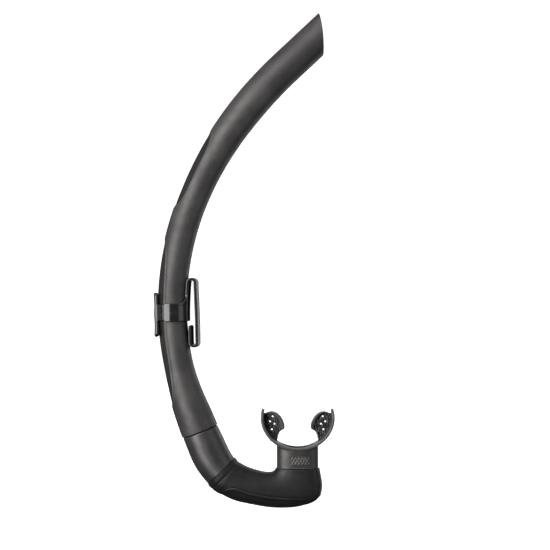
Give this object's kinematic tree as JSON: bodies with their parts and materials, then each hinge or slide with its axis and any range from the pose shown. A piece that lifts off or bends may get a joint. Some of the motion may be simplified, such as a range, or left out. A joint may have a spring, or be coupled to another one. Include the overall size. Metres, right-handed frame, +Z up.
{
  "type": "diving snorkel",
  "caption": "Curved freediving snorkel with a slanted open top, a push-fit swivel joint over a J-shaped elbow, a soft bite mouthpiece and a sliding mask-strap clip.",
  "frame": {"origin": "middle of the mouthpiece, where its passage opens between the lips", "axes": "+Z up along the barrel, away from the elbow; +X from the barrel to the mouthpiece; +Y across the snorkel"},
  "size_m": [0.1574, 0.033, 0.4304],
  "materials": {
    "barrel_rubber": "matte charcoal with a fine moulded grain",
    "sleeve_rubber": "semi-matte charcoal",
    "elbow_rubber": "smooth matte black",
    "mouthpiece_silicone": "soft matte silicone with a satin sheen",
    "clip_plastic": "polished black",
    "plate_plastic": "fine satin black",
    "inner_plastic": "smooth black",
    "seal_rubber": "smooth black"
  },
  "bodies": {
    "lower": {"mouthpiece": "mouthpiece_silicone", "mouthpiece_spigot": "inner_plastic", "elbow": "elbow_rubber", "joint_core": "inner_plastic", "joint_sleeve": "sleeve_rubber"},
    "seal": {"barrel_o_ring": "seal_rubber"},
    "barrel": {"barrel": "barrel_rubber", "barrel_socket_liner": "inner_plastic"},
    "keeper": {"strap_clip": "clip_plastic", "clip_back_plate": "plate_plastic"}
  },
  "joints": [
    {"name": "barrel_swivel", "type": "hinge", "parent": "lower", "child": "seal", "pos_m": [-0.0849, 0, 0.014], "axis": [-0.3649, 0, 0.9311], "continuous": true},
    {"name": "barrel_pull_off", "type": "slide", "parent": "seal", "child": "barrel", "axis": [-0.3649, 0, 0.9311], "range_m": [0, 0.02]},
    {"name": "keeper_slide", "type": "hinge", "parent": "barrel", "child": "keeper", "pos_m": [0.13619, 0, 0.12266], "axis": [0, 1, 0], "range_deg": [-6.5, 9.3]}
  ]
}
